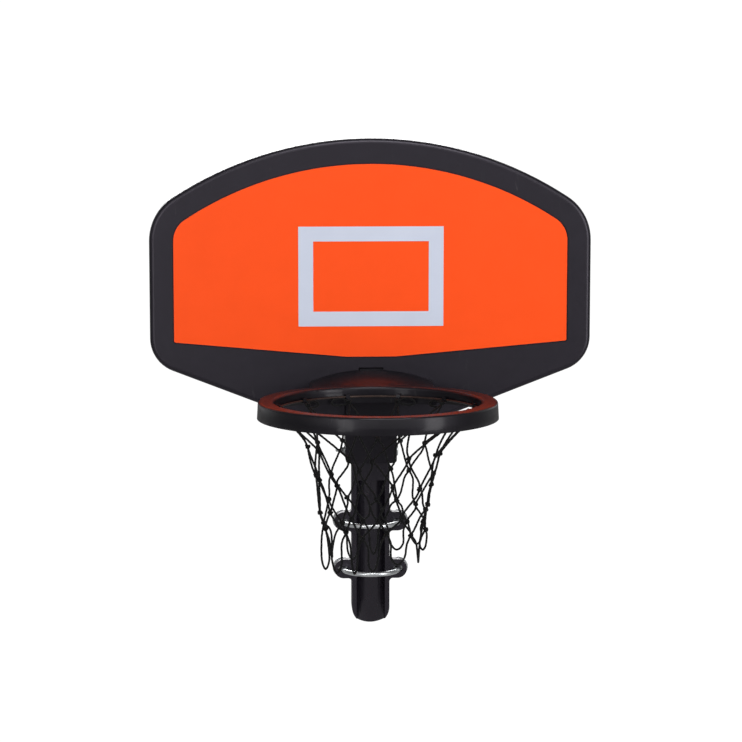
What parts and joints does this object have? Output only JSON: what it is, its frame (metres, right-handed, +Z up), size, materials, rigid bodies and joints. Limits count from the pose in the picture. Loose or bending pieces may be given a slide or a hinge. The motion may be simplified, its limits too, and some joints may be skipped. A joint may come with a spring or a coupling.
{
  "type": "basketball hoop",
  "caption": "Basketball hoop with backboard, deep rim, cord net and a tilting socket on a pole bracket clamped by U-bolts.",
  "frame": {"origin": "on the axis of the clamped pole, midway between the two U-bolts", "axes": "+Z up along the pole, the backboard faces -Y, +X to the right seen from the front"},
  "size_m": [0.73, 0.4691, 0.8174],
  "materials": {
    "board_plastic": "fine moulded grain, satin",
    "bracket_plastic": "satin moulded",
    "rim_plastic": "satin moulded",
    "orange_plastic": "smooth, semi-matte",
    "target_grey": "printed film, semi-matte",
    "zinc_steel": "bright zinc plated",
    "black_steel": "black coated screws",
    "net_cord": "braided black cord, knotted"
  },
  "bodies": {
    "bracket": {"pole_bracket": "bracket_plastic", "pivot_bush": "zinc_steel", "ubolt_washers": "zinc_steel"},
    "board": {"socket_block": "bracket_plastic", "pivot_bolt": "zinc_steel", "pivot_washers": "zinc_steel", "backboard_shell": "board_plastic", "rear_cover": "board_plastic", "cover_screws": "black_steel", "orange_panel": "orange_plastic", "target_frame": "target_grey", "rim_frame": "rim_plastic", "rim_bolts": "zinc_steel", "rim_washers": "zinc_steel", "rim_nuts": "zinc_steel", "net_wire_ring": "black_steel", "net_clips": "rim_plastic", "net": "net_cord"},
    "wing_nut": {"wing_nut": "zinc_steel"},
    "ubolt_upper": {"ubolt_upper": "zinc_steel"},
    "ubolt_lower": {"ubolt_lower": "zinc_steel"},
    "nut_upper_left": {"ubolt_nut_upper_left": "zinc_steel"},
    "nut_upper_right": {"ubolt_nut_upper_right": "zinc_steel"},
    "nut_lower_left": {"ubolt_nut_lower_left": "zinc_steel"},
    "nut_lower_right": {"ubolt_nut_lower_right": "zinc_steel"}
  },
  "joints": [
    {"name": "board_tilt", "type": "hinge", "parent": "bracket", "child": "board", "pos_m": [0, 0.019, 0.159], "axis": [1, 0, 0], "range_deg": [-10, 20]},
    {"name": "wing_nut_spin", "type": "hinge", "parent": "board", "child": "wing_nut", "pos_m": [-0.0475, 0.019, 0.159], "axis": [-1, 0, 0], "continuous": true},
    {"name": "nut_upper_left_spin", "type": "hinge", "parent": "bracket", "child": "nut_upper_left", "pos_m": [-0.0465, 0.021, 0.0405], "axis": [0, 1, 0], "range_deg": [0, 5184]},
    {"name": "nut_upper_right_spin", "type": "hinge", "parent": "bracket", "child": "nut_upper_right", "pos_m": [0.0465, 0.021, 0.0405], "axis": [0, 1, 0], "range_deg": [0, 5184]},
    {"name": "ubolt_upper_slide", "type": "slide", "parent": "bracket", "child": "ubolt_upper", "axis": [0, 1, 0], "range_m": [0, 0.018]},
    {"name": "nut_lower_left_spin", "type": "hinge", "parent": "bracket", "child": "nut_lower_left", "pos_m": [-0.0465, 0.021, -0.0405], "axis": [0, 1, 0], "range_deg": [0, 5184]},
    {"name": "nut_lower_right_spin", "type": "hinge", "parent": "bracket", "child": "nut_lower_right", "pos_m": [0.0465, 0.021, -0.0405], "axis": [0, 1, 0], "range_deg": [0, 5184]},
    {"name": "ubolt_lower_slide", "type": "slide", "parent": "bracket", "child": "ubolt_lower", "axis": [0, 1, 0], "range_m": [0, 0.018]}
  ],
  "couplings": [
    {"joint": "nut_upper_left_spin", "follows": "ubolt_upper_slide", "rad_per_m": 5026.5},
    {"joint": "nut_upper_right_spin", "follows": "ubolt_upper_slide", "rad_per_m": 5026.5},
    {"joint": "nut_lower_left_spin", "follows": "ubolt_lower_slide", "rad_per_m": 5026.5},
    {"joint": "nut_lower_right_spin", "follows": "ubolt_lower_slide", "rad_per_m": 5026.5}
  ]
}
